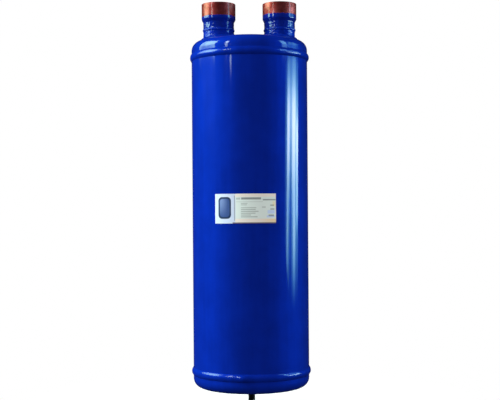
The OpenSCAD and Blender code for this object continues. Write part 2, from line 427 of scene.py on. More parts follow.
@dataclass(frozen=True)
class BluePaint(Finish):
    """Royal blue flake paint under a clear, wavy coat; the inside of a wall is bare steel.

    Attributes:
        colour: Colour of the paint.
        flake: Share of metal flakes.
        clear: Weight of the clear coat.
        rough: Roughness of the flakes.
        gloss: Roughness of the clear coat.
        peel: Height of the coat's fine waves.
        mottle: How far the colour goes up and down.
        edge: Colour of the flakes at a grazing angle.
        clouds: Scale of the mottle.
        streaks: Scale of the brush marks along each axis.
        peel_scale: Scale of the coat's fine waves.
        wave_scale: Scale of its longer waves.
        wall: Kind of piece below the paint.
        body: Sizes of the vessel, for the walls' insides.
    """

    colour: Colour = (0.0015, 0.0185, 0.32)
    flake: float = 0.34
    clear: float = 0.9
    rough: float = 0.55
    gloss: float = 0.06
    peel: float = 0.006 * MM
    mottle: float = 0.14
    edge: Colour = (0.45, 0.75, 1.0)
    clouds: float = 42.0
    streaks: Sequence[float] = (120.0, 120.0, 9.0)
    peel_scale: float = 430.0
    wave_scale: float = 95.0
    wall: Wall = Wall.SOLID
    body: BodySizes = BodySizes()

    def coat(self, graph: Graph) -> Channels:
        """The coat itself.

        Args:
            graph: Where its nodes go.

        Returns:
            The coat's channels.
        """
        place = graph.place()
        cloud = graph.noise(place, self.clouds, 3.0, 0.55)
        streak = graph.noise(graph.scaled(place, self.streaks), 1.0, 2.0, 0.6)
        peel = graph.noise(place, self.peel_scale, 1.5, 0.5)
        wave = graph.noise(place, self.wave_scale, 1.0, 0.4)
        tone = (cloud * 0.55 + streak * 0.45).rise(0.28, 0.72)
        dark = tuple(c * (1.0 - self.mottle) for c in self.colour)
        light = tuple(c * (1.0 + self.mottle) for c in self.colour)
        return Channels(
            graph.blend(dark, light, tone),
            self.rough + (cloud - 0.5) * 0.12 + (peel - 0.5) * 0.08,
            self.flake + (tone - 0.5) * 0.06,
            peel * self.peel + wave * (self.peel * 2.0),
            self.clear + (cloud - 0.5) * 0.06,
        )

    def outside(self, graph: Graph) -> Signal:
        """Mask of a wall's painted side.

        Args:
            graph: Where its nodes go.

        Returns:
            1 on the outside, 0 on the bare inside.
        """
        sizes = self.body
        x, y, z = graph.split(graph.place())
        radius = (x * x + y * y).root()
        on_side = radius.rise(sizes.radius - 2 * MM, sizes.radius - MM)
        if self.wall is Wall.TUBE:
            return on_side
        rise = z - sizes.top_tangent if self.wall is Wall.TOP_HEAD else sizes.bottom_tangent - z
        sunk = rise + (sizes.crown - sizes.head_height)
        on_dish = (radius * radius + sunk * sunk).root().rise(sizes.crown - 2 * MM, sizes.crown - MM)
        out = (radius - sizes.knuckle_at).most(0.0)
        lift = rise.most(0.0)
        on_knuckle = (out * out + lift * lift).root().rise(sizes.knuckle - 2 * MM, sizes.knuckle - MM)
        past = radius.rise(sizes.knuckle_at, sizes.knuckle_at + 0.5 * MM)
        return on_side.most(on_dish).most(on_knuckle * past)

    def constants(self) -> dict[str, Any]:
        """Sockets that stay the same all over: only the clear coat mirrors white."""
        return {"Coat Roughness": self.gloss, "Specular IOR Level": 0.0, "Specular Tint": self.edge}

    def channels(self, graph: Graph) -> Channels:
        """The coat, over bare steel where the wall has an inside.

        Args:
            graph: Where its nodes go.

        Returns:
            The channels of the whole wall.
        """
        coat = self.coat(graph)
        if self.wall is Wall.SOLID:
            return coat
        mask = self.outside(graph)
        steel = BareSteel().channels(graph)
        return Channels(
            graph.blend(steel.colour, coat.colour, mask),
            steel.rough + (coat.rough - steel.rough) * mask,
            1.0 - (1.0 - coat.metal) * mask,
            steel.height + (coat.height - steel.height) * mask,
            coat.coat * mask,
        )


@dataclass(frozen=True)
class BareSteel(Finish):
    """Bare drawn steel with a fine grain along the axis and a thin oil film in patches."""

    colour: Colour = (0.46, 0.46, 0.47)
    stained: Colour = (0.27, 0.255, 0.24)
    rough: float = 0.34
    grain: Sequence[float] = (900.0, 900.0, 40.0)
    stains: float = 60.0
    grain_depth: float = 0.004 * MM

    def channels(self, graph: Graph) -> Channels:
        """The steel's channels in that graph.

        Args:
            graph: Where its nodes go.

        Returns:
            The steel's channels.
        """
        place = graph.place()
        grain = graph.noise(graph.scaled(place, self.grain), 1.0, 3.0, 0.6)
        stain = graph.noise(place, self.stains, 4.0, 0.6).rise(0.42, 0.7)
        return Channels(
            graph.blend(self.colour, self.stained, stain * 0.8 + grain * 0.2),
            self.rough + (grain - 0.5) * 0.22 - stain * 0.08,
            1.0,
            grain * self.grain_depth,
        )


@dataclass(frozen=True)
class ScreenWire(Finish):
    """Woven stainless wire: a plain weave drawn round the cup, with painted shade in the gaps between the
    wires.
    """

    centre: Point
    wires: int = 56
    pitch: float = 0.85 * MM
    depth: float = 0.06 * MM
    wire: Colour = (0.58, 0.57, 0.54)
    # painted shade: the dark colour of the gaps between the wires
    hollow: Colour = (0.1, 0.1, 0.1)

    def channels(self, graph: Graph) -> Channels:
        """The weave's channels in that graph.

        Args:
            graph: Where its nodes go.

        Returns:
            The weave's channels.
        """
        x, y, z = graph.split(graph.place())
        turn = graph.math("ARCTAN2", y - self.centre[1], x - self.centre[0]) * (self.wires / math.tau)
        level = z / self.pitch
        warp = abs(turn.fract() - 0.5) * 2.0
        weft = abs(level.fract() - 0.5) * 2.0
        over = ((turn.floor() + level.floor()) * 0.5).fract().rise(0.2, 0.3)
        weave = warp * over + weft * (1.0 - over)
        # the gaps away from the wires get the painted shade; the wires keep their own colour
        return Channels(
            graph.blend(self.wire, self.hollow, weave.rise(0.35, 0.95)),
            0.28 + weave * 0.3,
            1.0,
            (1.0 - weave) * self.depth,
        )


@dataclass(frozen=True)
class TurnedBrass(Finish):
    """Turned brass with fine tool rings."""

    colour: Colour = (0.72, 0.52, 0.22)
    tarnish: Colour = (0.42, 0.27, 0.1)
    ring_pitch: float = 0.22 * MM
    ring_depth: float = 0.006 * MM

    def channels(self, graph: Graph) -> Channels:
        """The brass's channels in that graph.

        Args:
            graph: Where its nodes go.

        Returns:
            The brass's channels.
        """
        place = graph.place()
        _, _, z = graph.split(place)
        ring = abs((z / self.ring_pitch).fract() - 0.5) * 2.0
        stain = graph.noise(place, 240.0, 3.0, 0.6)
        return Channels(
            graph.blend(self.colour, self.tarnish, stain.rise(0.4, 0.75)),
            0.22 + stain * 0.18,
            1.0,
            ring * self.ring_depth,
        )


@dataclass(frozen=True)
class PaintedCopper(Finish):
    """Drawn copper, dulled by brazing heat, with paint up to an uneven line."""

    paint_line: float
    paint: BluePaint = BluePaint(colour=(0.0024, 0.014, 0.24), peel=0.012 * MM, edge=(1.0, 1.0, 1.0))
    paint_depth: float = 0.06 * MM
    ragged: float = 2.4 * MM
    soft: float = 0.3 * MM
    bright: Colour = (0.43, 0.068, 0.075)
    heated: Colour = (0.24, 0.022, 0.02)
    rough: float = 0.42
    metal: float = 0.9
    sheen: float = 0.36
    drawn_depth: float = 0.005 * MM

    def channels(self, graph: Graph) -> Channels:
        """Copper above the line, paint below it.

        Args:
            graph: Where its nodes go.

        Returns:
            The channels of the whole socket.
        """
        place = graph.place()
        _, _, z = graph.split(place)
        drawn = graph.noise(graph.scaled(place, (700.0, 700.0, 60.0)), 1.0, 2.0, 0.6)
        heat = graph.noise(place, 130.0, 3.0, 0.6).rise(0.3, 0.72)
        ragged = (graph.noise(place, 210.0, 3.0, 0.6) - 0.5) * self.ragged
        bare = (z + ragged).rise(self.paint_line - self.soft, self.paint_line + self.soft)
        coat = self.paint.coat(graph)
        copper_rough = self.rough + (drawn - 0.5) * 0.2 + heat * 0.12
        return Channels(
            graph.blend(coat.colour, graph.blend(self.bright, self.heated, heat), bare),
            coat.rough + (copper_rough - coat.rough) * bare,
            coat.metal + (self.metal - coat.metal) * bare,
            (coat.height + self.paint_depth) * (1.0 - bare) + drawn * bare * self.drawn_depth,
            coat.coat + (self.sheen - coat.coat) * bare,
        )

    def constants(self) -> dict[str, Any]:
        """Sockets that stay the same all over: those of the paint."""
        return self.paint.constants()


@dataclass(frozen=True)
class DarkTopSteel(Finish):
    """Steel that is near black down to a line and grey below it, with scattered grey specks."""

    # height below which the steel is grey instead of near black
    grey_below: float = -8.0 * MM
    black: Colour = (0.012, 0.012, 0.013)
    # grey of the stud's lower end, below that height
    bare: Colour = (0.42, 0.42, 0.42)
    soft: float = 0.3 * MM
    spot_depth: float = 0.01 * MM

    def channels(self, graph: Graph) -> Channels:
        """The steel's channels in that graph.

        Args:
            graph: Where its nodes go.

        Returns:
            The steel's channels.
        """
        place = graph.place()
        _, _, z = graph.split(place)
        spots = graph.noise(place, 900.0, 3.0, 0.6)
        # near black above the line, grey below it and in scattered specks
        end = 1.0 - (z + (spots - 0.5) * MM).rise(self.grey_below - self.soft, self.grey_below + self.soft)
        grey_share = end.most(spots.rise(0.66, 0.8) * 0.35)
        return Channels(
            graph.blend(self.black, self.bare, grey_share),
            0.5 - grey_share * 0.16 + (spots - 0.5) * 0.2,
            0.35 + grey_share * 0.65,
            spots * self.spot_depth,
        )


@dataclass(frozen=True)
class PrintedFilm(Finish):
    """Pale film with plain fields of colour, thin grey bars and a painted shadow line along its lower edge.

    Lengths are in millimetres from the label's middle, and a box is its left, right, low and high edge.
    """

    width: float
    height: float
    soft: float = 0.22
    grain_depth: float = 0.005 * MM
    plate_middle: Point = (-21.9, 0.8)
    plate_half: Point = (7.3, 11.4)
    plate_corner: float = 4.2
    panel_half: Point = (5.6, 9.4)
    panel_corner: float = 3.0
    glow_box: Box = (14.0, 35.5, -14.2, -10.8)
    white: Colour = (0.56, 0.62, 0.78)
    pale: Colour = (0.72, 0.8, 0.76)
    cream: Colour = (0.85, 0.76, 0.68)
    orange: Colour = (0.85, 0.6, 0.3)
    straw: Colour = (0.85, 0.74, 0.4)
    sky: Colour = (0.48, 0.6, 0.92)
    block: Colour = (0.03, 0.07, 0.24)
    deep: Colour = (0.01, 0.028, 0.09)
    panel: Colour = (0.15, 0.22, 0.45)
    grey: Colour = (0.12, 0.13, 0.13)
    # colour of the painted shadow line along the film's lower edge
    edge_shadow: Colour = (0.09, 0.012, 0.02)

    def bar(self, across: Signal, up: Signal, box: Box) -> Signal:
        """Mask of one upright rectangle.

        Args:
            across: Millimetres from the label's middle to the right.
            up: Millimetres from its middle upwards.
            box: Left, right, low and high edge.

        Returns:
            1 inside, 0 outside, with a soft edge.
        """
        left, right, low, high = box
        soft = self.soft
        return (
            across.rise(left - soft, left + soft)
            * (1.0 - across.rise(right - soft, right + soft))
            * up.rise(low - soft, low + soft)
            * (1.0 - up.rise(high - soft, high + soft))
        )

    def plate(self, across: Signal, up: Signal, half: Point, corner: float) -> Signal:
        """Mask of a rectangle with round corners.

        Args:
            across: Millimetres from the label's middle to the right.
            up: Millimetres from its middle upwards.
            half: Half the rectangle's width and height.
            corner: Radius of its corners.

        Returns:
            1 inside, 0 outside, with a soft edge.
        """
        out_x = (abs(across - self.plate_middle[0]) - (half[0] - corner)).most(0.0)
        out_y = (abs(up - self.plate_middle[1]) - (half[1] - corner)).most(0.0)
        return 1.0 - (out_x * out_x + out_y * out_y).root().rise(corner - self.soft, corner + self.soft)

    def rows(self, across: Signal, up: Signal, box: Box, pitch: float, seed: float) -> Signal:
        """Mask of thin bars of uneven length, one above the other.

        Args:
            across: Millimetres from the label's middle to the right.
            up: Millimetres from its middle upwards.
            box: Left, right, low and high edge of the whole block.
            pitch: Distance from bar to bar.
            seed: Picks the lengths.

        Returns:
            1 on the bars.
        """
        left, right, low, _ = box
        graph = across.graph
        level = (up - low) / pitch
        length = graph.node(
            "ShaderNodeTexWhiteNoise", {"noise_dimensions": "1D"}, {"W": level.floor() + seed}
        )["Value"]
        reach = left + (right - left) * (0.55 + length * 0.45)
        thick = 1.0 - abs(level.fract() - 0.5).rise(0.16, 0.3)
        return self.bar(across, up, box) * thick * (1.0 - (across - reach).rise(-0.2, 0.2))

    def fields(self) -> list[tuple[Colour, Box, float]]:
        """The plain fields of colour from the lowest up; the last one is a painted shadow line along the
        film's lower edge.

        Returns:
            Colour, box and strength of each field.
        """
        return [
            (self.cream, (-10.0, 35.5, 12.3, 15.5), 1.0),
            (self.cream, (-10.0, 35.5, -14.2, -10.6), 1.0),
            (self.cream, (32.6, 35.5, -14.0, 14.0), 0.7),
            (self.straw, (29.6, 32.4, 2.4, 7.4), 0.7),
            (self.sky, (24.0, 31.8, -5.4, -1.8), 0.75),
            (self.sky, (23.0, 31.8, -9.4, -7.2), 0.75),
            # painted shadow: a dark line along the film's lower edge, where the edge casts its shade
            (self.edge_shadow, (-13.0, 35.5, -15.8, -14.4), 0.85),
        ]

    def ink(self, across: Signal, up: Signal) -> Signal:
        """Strength of the grey ink.

        Args:
            across: Millimetres from the label's middle to the right.
            up: Millimetres from its middle upwards.

        Returns:
            0 on the bare film, up to 1 on the darkest bars.
        """
        strength = self.rows(across, up, (-4.0, 15.0, -9.6, 1.2), 1.9, 3.0) * 0.55
        strength = strength + self.rows(across, up, (-4.0, 4.0, 3.0, 6.0), 1.6, 9.0) * 0.5
        for box, share in (
            ((-11.2, -10.5, -12.5, 13.5), 0.75),
            ((-9.0, -4.6, 9.4, 11.4), 0.4),
            ((-3.6, 17.0, 9.4, 11.6), 0.75),
            ((19.0, 33.0, 8.4, 9.8), 0.7),
            ((-9.0, 19.0, 6.8, 7.3), 0.35),
            ((27.0, 31.0, 2.6, 4.0), 0.6),
            ((18.0, 22.0, 0.8, 2.0), 0.4),
            ((27.0, 31.5, -1.4, 0.0), 0.6),
            ((25.0, 31.0, -8.2, -6.4), 0.6),
        ):
            strength = strength + self.bar(across, up, box) * share
        return strength.least(1.0)

    def channels(self, graph: Graph) -> Channels:
        """The print's channels in that graph.

        Args:
            graph: Where its nodes go.

        Returns:
            Channels of the film with its print.
        """
        parts = graph.split(graph.node("ShaderNodeUVMap", {"uv_map": "print"})["UV"])
        across = (parts[0] - 0.5) * self.width
        up = (parts[1] - 0.5) * self.height
        paper = graph.noise(graph.place(), 260.0, 3.0, 0.6)
        colour = graph.blend(self.white, self.pale, across.rise(-10.2, -9.4))
        for tone, box, strength in self.fields():
            colour = graph.blend(colour, tone, self.bar(across, up, box) * strength)
        glow = self.bar(across, up, self.glow_box) * across.rise(12.0, 34.0)
        colour = graph.blend(colour, self.orange, glow * 0.8)
        colour = graph.blend(colour, self.deep, self.plate(across, up, self.plate_half, self.plate_corner))
        light = up.rise(-10.0, 8.0) * (1.0 - across.rise(-26.0, -17.0))
        panel = self.plate(across, up, self.panel_half, self.panel_corner)
        colour = graph.blend(colour, graph.blend(self.block, self.panel, light), panel)
        colour = graph.blend(colour, self.grey, self.ink(across, up))
        return Channels(
            graph.blend(colour, self.white, (paper - 0.5) * 0.1),
            0.34 + (paper - 0.5) * 0.12,
            0.0,
            paper * self.grain_depth,
        )


class ModifierTree:
    """A Geometry Nodes tree that moves a mesh's points, with named inputs for its sizes."""

    def __init__(self, name: str, inputs: dict[str, float]) -> None:
        """Makes the tree's sockets.

        Args:
            name: The tree's name.
            inputs: Named sizes and their first values.
        """
        self.tree = bpy.data.node_groups.new(name, "GeometryNodeTree")
        self.graph = Graph(self.tree)
        sockets = self.tree.interface
        sockets.new_socket("Mesh", in_out="INPUT", socket_type="NodeSocketGeometry")
        for key, value in inputs.items():
            sockets.new_socket(key, in_out="INPUT", socket_type="NodeSocketFloat").default_value = value
        sockets.new_socket("Material", in_out="INPUT", socket_type="NodeSocketMaterial")
        sockets.new_socket("Mesh", in_out="OUTPUT", socket_type="NodeSocketGeometry")
        self.given = self.graph.node("NodeGroupInput")

    def attribute(self, name: str) -> Signal:
        """Reads a number stored at each point of the mesh.

        Args:
            name: The attribute's name.

        Returns:
            The number.
        """
        return self.graph.node(
            "GeometryNodeInputNamedAttribute", {"data_type": "FLOAT"}, {"Name": name}
        )["Attribute"]

    def close(self, offset: Signal) -> None:
        """Moves the points and ends the tree.

        Args:
            offset: How far each point moves.
        """
        graph = self.graph
        moved = graph.node(
            "GeometryNodeSetPosition", None, {"Geometry": self.given["Mesh"], "Offset": offset}
        )["Geometry"]
        whole = graph.node("GeometryNodeRealizeInstances", None, {"Geometry": moved})["Geometry"]
        dressed = graph.node(
            "GeometryNodeSetMaterial", None, {"Geometry": whole, "Material": self.given["Material"]}
        )["Geometry"]
        graph.node("NodeGroupOutput", None, {"Mesh": dressed})

    def along(self, direction: Signal, amount: Signal) -> Signal:
        """Stretches a direction.

        Args:
            direction: A vector of length 1.
            amount: Its new length.

        Returns:
            The stretched vector.
        """
        return self.graph.node(
            "ShaderNodeVectorMath", {"operation": "SCALE"}, {"Vector": direction, "Scale": amount}
        )["Vector"]

    def apply(self, piece: bpy.types.Object, values: dict[str, Any]) -> None:
        """Runs the tree on a piece and keeps the result as its plain mesh.

        Args:
            piece: The object to change.
            values: Values for the named inputs.
        """
        modifier = piece.modifiers.new(self.tree.name, "NODES")
        modifier.node_group = self.tree
        for item in self.tree.interface.items_tree:
            if item.in_out == "INPUT" and item.name in values:
                modifier[item.identifier] = values[item.name]
        deps = bpy.context.evaluated_depsgraph_get()
        mesh = bpy.data.meshes.new_from_object(
            piece.evaluated_get(deps), preserve_all_data_layers=True, depsgraph=deps
        )
        piece.modifiers.clear()
        old, piece.data = piece.data, mesh
        bpy.data.meshes.remove(old)
        mesh.name = piece.name


class WeldRipples(ModifierTree):
    """The scalloped waves that a weld pool leaves along its bead."""

    def __init__(self) -> None:
        """Builds the tree."""
        super().__init__(
            "weld_ripples",
            {
                "Pitch": 2.4 * MM,
                "Height": 0.3 * MM,
                "Sag": 1.6 * MM,
                "Wander": 0.8 * MM,
                "Lumps": 0.2 * MM,
                "Stop": 0.0,
                "Stop Height": 0.0,
                "Stop Length": 10.0 * MM,
            },
        )
        graph, given = self.graph, self.given
        along, across = self.attribute("along"), self.attribute("across")
        place = graph.node("GeometryNodeInputPosition")["Position"]
        drift = (graph.noise(place, 140.0, 2.0) - 0.5) * given["Wander"] * 4.0
        phase = (along + across * across * given["Sag"] + drift) / given["Pitch"]
        wave = abs(phase.fract() - 0.5) * 2.0
        scallop = 1.0 - wave * wave
        uneven = graph.noise(place, 90.0, 2.0) * 1.4 + 0.3
        crest = 1.0 - across * across
        lump = (graph.noise(place, 70.0, 1.0) - 0.5) * 2.0 * given["Lumps"]
        stop = 1.0 - (abs(along - given["Stop"]) / given["Stop Length"]).rise(0.0, 1.0)
        amount = ((scallop * uneven - 0.75) * given["Height"] + lump + stop * given["Stop Height"]) * crest
        self.close(self.along(graph.node("GeometryNodeInputNormal")["Normal"], amount))

    def draw(
        self, name: str, rings: np.ndarray, across: np.ndarray, pitch: float, values: dict[str, Any]
    ) -> bpy.types.Object:
        """Makes a bead from its sections and draws the waves along it.

        Args:
            name: The bead's name.
            rings: Points, by place along the bead and by place in the section.
            across: Place of each of the section's points across the bead, from -1 to 1.
            pitch: Distance from wave to wave.
            values: Values for the other named inputs.

        Returns:
            The bead.
        """
        along = np.arange(len(rings))[:, None] * (pitch / WAVE_STEPS) * np.ones(len(across))
        numbers = {"along": along, "across": np.broadcast_to(across, along.shape)}
        piece = ring_piece(name, rings, numbers)
        self.apply(piece, {"Pitch": pitch, **values})
        return piece


class ScrewThread(ModifierTree):
    """A right-hand thread cut into a round shank."""

    def __init__(self) -> None:
        """Builds the tree."""
        super().__init__("screw_thread", {"Pitch": 1.25 * MM, "Depth": 0.767 * MM})
        graph, given = self.graph, self.given
        place = graph.node("GeometryNodeInputPosition")["Position"]
        x, y, z = graph.split(place)
        turn = graph.math("ARCTAN2", y, x) / math.tau
        wave = abs((z / given["Pitch"] - turn).fract() - 0.5) * 2.0
        cut = 1.0 - ((wave - 0.25) / 0.625).most(0.0).least(1.0)
        radius = (x * x + y * y).root().most(1e-6)
        outward = graph.node("ShaderNodeCombineXYZ", None, {"X": x / radius, "Y": y / radius})["Vector"]
        self.close(self.along(outward, -(cut * given["Depth"] * self.attribute("threaded"))))


class UnevenSkin(ModifierTree):
    """Shallow dents and brazing lumps in a skin."""

    def __init__(self) -> None:
        """Builds the tree."""
        super().__init__("uneven_skin", {"Height": 0.3 * MM, "Scale": 210.0})
        graph, given = self.graph, self.given
        place = graph.node("GeometryNodeInputPosition")["Position"]
        lump = graph.noise(place, given["Scale"], 2.0, 0.45) - 0.5
        amount = lump * 2.0 * given["Height"] * self.attribute("uneven")
        self.close(self.along(graph.node("GeometryNodeInputNormal")["Normal"], amount))


def dense(outline: Sequence[Point], step: float) -> np.ndarray:
    """Adds points to a closed outline so that no side is longer than a step.

    Args:
        outline: Corner points.
        step: Longest side allowed.

    Returns:
        The points of the finer outline.
    """
    points: list[Point] = []
    for (ax, ay), (bx, by) in zip(outline, [*outline[1:], outline[0]]):
        count = max(1, math.ceil(math.hypot(bx - ax, by - ay) / step - 1e-6))
        points += [(ax + (bx - ax) * i / count, ay + (by - ay) * i / count) for i in range(count)]
    return np.array(points)


def rounded(outline: Sequence[Point], radii: Sequence[float], steps: int = 6) -> list[Point]:
    """Rounds the corners of a closed outline.

    Args:
        outline: Corner points.
        radii: Radius at each corner.
        steps: Sides of each rounding.

    Returns:
        The rounded outline's points.
    """
    points: list[Point] = []
    count = len(outline)
    for i, radius in enumerate(radii):
        corner = Vector(outline[i])
        back = (Vector(outline[i - 1]) - corner).normalized()
        ahead = (Vector(outline[(i + 1) % count]) - corner).normalized()
        if radius <= 0.0:
            points.append(tuple(corner))
            continue
        half = back.angle(ahead) / 2
        centre = corner + (back + ahead).normalized() * (radius / math.sin(half))
        start = corner + back * (radius / math.tan(half)) - centre
        end = corner + ahead * (radius / math.tan(half)) - centre
        sweep = math.atan2(start.x * end.y - start.y * end.x, start.dot(end))
        for k in range(steps + 1):
            angle = sweep * k / steps
            turned = Vector((
                start.x * math.cos(angle) - start.y * math.sin(angle),
                start.x * math.sin(angle) + start.y * math.cos(angle),
            ))
            points.append(tuple(centre + turned))
    return points


def add_object(name: str, data: bpy.types.ID) -> bpy.types.Object:
    """Adds an object to the scene.

    Args:
        name: The object's name.
        data: Its mesh, lamp or camera.

    Returns:
        The object, at the origin.
    """
    made = bpy.data.objects.new(name, data)
    bpy.context.scene.collection.objects.link(made)
    return made


def ring_piece(
    name: str, rings: np.ndarray, numbers: dict[str, np.ndarray], wrapped: bool = True
) -> bpy.types.Object:
    """Makes an object from sections that stand round an axis.

    Args:
        name: The object's name.
        rings: Points, by place round the axis and by place in the section.
        numbers: Numbers to store at each point, in the same order.
        wrapped: Whether the section is closed; an open one ends on the axis.

    Returns:
        The new object, in the row frame.
    """
    around, section = rings.shape[:2]
    index = np.arange(around * section).reshape(around, section)
    ahead = np.roll(index, -1, axis=0)
    quads = np.stack([index, ahead, np.roll(ahead, -1, axis=1), np.roll(index, -1, axis=1)], axis=-1)
    quads = quads if wrapped else quads[:, :-1]
    mesh = bpy.data.meshes.new(name)
    mesh.from_pydata(rings.reshape(-1, 3).tolist(), [], quads.reshape(-1, 4).tolist())
    for key, values in numbers.items():
        mesh.attributes.new(key, "FLOAT", "POINT").data.foreach_set(
            "value", np.ascontiguousarray(values, np.float32).ravel()
        )
    if not wrapped:
        work = bmesh.new()
        work.from_mesh(mesh)
        bmesh.ops.remove_doubles(work, verts=work.verts, dist=1e-7)
        work.to_mesh(mesh)
        work.free()
    mesh.shade_smooth()
    mesh.set_sharp_from_angle(angle=SHARP_ANGLE)
    return add_object(name, mesh)


def lathe(section: np.ndarray, around: int, axis: Point = (0.0, 0.0)) -> np.ndarray:
    """Turns a section about an upright axis.

    Args:
        section: Radius and height of each point.
        around: Number of places round the axis.
        axis: Where the axis stands.

    Returns:
        Points by place round the axis and by place in the section.
    """
    turn = np.arange(around) * (math.tau / around)
    radius, height = section[:, 0], section[:, 1]
    return np.stack(
        [
            axis[0] + np.cos(turn)[:, None] * radius,
            axis[1] + np.sin(turn)[:, None] * radius,
            np.broadcast_to(height, (around, len(height))),
        ],
        axis=-1,
    )


def settle(piece: bpy.types.Object, slot: str, *nodes: str) -> None:
    """Lets a piece ride on the part in the place of CAD nodes.

    Args:
        piece: The finished piece.
        slot: The record's material slot; not used.
        nodes: CAD nodes that it stands for.
    """
    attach(piece, ROOT)
    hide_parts(*nodes)
    LOG.info("%s: %d faces, for %s", piece.name, len(piece.data.polygons), ", ".join(nodes))


def coat_node(name: str, material: bpy.types.Material) -> None:
    """Gives a CAD node its material.

    Args:
        name: The node's name.
        material: Its finish.
    """
    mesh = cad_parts[name].data
    mesh.materials.clear()
    mesh.materials.append(material)
    LOG.info("%s: %s", name, material.name)


@dataclass
class Bead:
    """A weld or braze bead: an arc on a round wall with a root below it, drawn out into waves.

    Attributes:
        name: The piece's name.
        node: CAD node that it stands for.
        wall: Radius of the wall that it lies on.
        level: Height of its middle.
        width: Width on the wall.
        proud: How far it stands out.
        gap: Width of the root.
        depth: How deep the root goes.
        axis: Where the wall's axis stands.
        pitch: Distance from wave to wave.
        height: Height of the waves.
        lumps: Height of the longer swells.
        sag: How far a wave trails at its edges, as a share of the pitch.
        wander: How far the waves stray, as a share of the pitch.
        stop: Angle at which the bead closes on itself.
        stop_height: Height of the lump there.
        points: Number of points over the cap.
        slot: Material slot in the record.
    """

    name: str
    node: str
    wall: float
    level: float
    width: float
    proud: float
    gap: float
    depth: float
    axis: Point = (0.0, 0.0)
    pitch: float = 2.6 * MM
    height: float = 0.06 * MM
    lumps: float = 0.4 * MM
    sag: float = 0.7
    wander: float = 0.25
    stop: float = 0.0
    stop_height: float = 0.0
    points: int = 17
    slot: str = "blue_paint"

    def section(self) -> tuple[np.ndarray, np.ndarray]:
        """The bead's closed section.

        Returns:
            Radius and height of each point, and its place across the bead from -1 to 1.
        """
        half = self.width / 2
        arc = (half * half + self.proud * self.proud) / (2 * self.proud)
        centre = self.wall + self.proud - arc
        spread = math.asin(half / arc)
        places = np.linspace(-1.0, 1.0, self.points)
        cap = np.stack(
            [centre + arc * np.cos(places * spread), self.level + arc * np.sin(places * spread)], axis=-1
        )
        inner = self.wall - self.depth
        root = np.array([
            (self.wall, self.level + self.gap / 2),
            (inner, self.level + self.gap / 2),
            (inner, self.level - self.gap / 2),
            (self.wall, self.level - self.gap / 2),
        ])
        return np.concatenate([cap, root]), np.concatenate([places, np.ones(len(root))])

    def build(self, ripples: WeldRipples, material: bpy.types.Material) -> None:
        """Makes the bead and puts it in the place of its node.

        Args:
            ripples: Tree that draws the waves.
            material: The bead's finish.
        """
        section, across = self.section()
        waves = round(math.tau * self.wall / self.pitch)
        rings = lathe(section, waves * WAVE_STEPS, self.axis)
        values = {
            "Height": self.height,
            "Sag": self.pitch * self.sag,
            "Wander": self.pitch * self.wander,
            "Lumps": self.lumps,
            "Stop": self.stop / math.tau * waves * self.pitch,
            "Stop Height": self.stop_height,
            "Material": material,
        }
        settle(ripples.draw(self.name, rings, across, self.pitch, values), self.slot, self.node)


@dataclass
class Fillet:
    """A fillet weld round an upright wall that stands on a dished head.

    Attributes:
        name: The piece's name.
        node: CAD node that it stands for.
        wall: Radius of the upright wall.
        leg: Length of the fillet's legs.
        apex: Height of the head's apex.
        up: 1 on a top head, -1 on a bottom head.
        crown: Radius of the head's dish.
        axis: Where the wall's axis stands.
        pitch: Distance from wave to wave.
        height: Height of the waves and of the longer swells.
        sag: How far a wave trails at its edges, as a share of the pitch.
        wander: How far the waves stray, as a share of the pitch.
        sink: How hollow the weld's face is, as a share of the leg.
        points: Number of points over the face.
        slot: Material slot in the record.
    """

    name: str
    node: str
    wall: float
    leg: float
    apex: float
    up: float
    crown: float
    axis: Point = (0.0, 0.0)
    pitch: float = 2.0 * MM
    height: float = 0.3 * MM
    sag: float = 0.6
    wander: float = 0.25
    sink: float = 0.3
    points: int = 15
    slot: str = "blue_paint"

    def build(self, ripples: WeldRipples, material: bpy.types.Material) -> None:
        """Makes the fillet on the head's curve and puts it in the place of its node.

        Args:
            ripples: Tree that draws the waves.
            material: The weld's finish.
        """
        sink = self.sink * self.leg
        face = math.hypot(self.leg + sink, sink)
        low, high = math.asin(sink / face), math.acos(sink / face)
        places = np.linspace(-1.0, 1.0, self.points)
        angle = low + (high - low) * (places + 1) / 2
        out = np.append(face * np.cos(angle) - sink, 0.0)
        rise = np.append(face * np.sin(angle) - sink, 0.0)
        across = np.append(places, 1.0)
        waves = round(math.tau * (self.wall + self.leg / 2) / self.pitch)
        turn = np.arange(waves * WAVE_STEPS)[:, None] * (math.tau / (waves * WAVE_STEPS))
        x = self.axis[0] + np.cos(turn) * (self.wall + out)
        y = self.axis[1] + np.sin(turn) * (self.wall + out)
        fall = self.crown - np.sqrt(self.crown**2 - x**2 - y**2)
        z = self.apex + self.up * (rise - fall)
        rings = np.stack([x, y, z], axis=-1)
        if self.up < 0:
            rings, across = rings[:, ::-1], across[::-1]
        values = {
            "Height": self.height,
            "Sag": self.pitch * self.sag,
            "Wander": self.pitch * self.wander,
            "Lumps": self.height,
            "Material": material,
        }
        settle(ripples.draw(self.name, rings, across, self.pitch, values), self.slot, self.node)


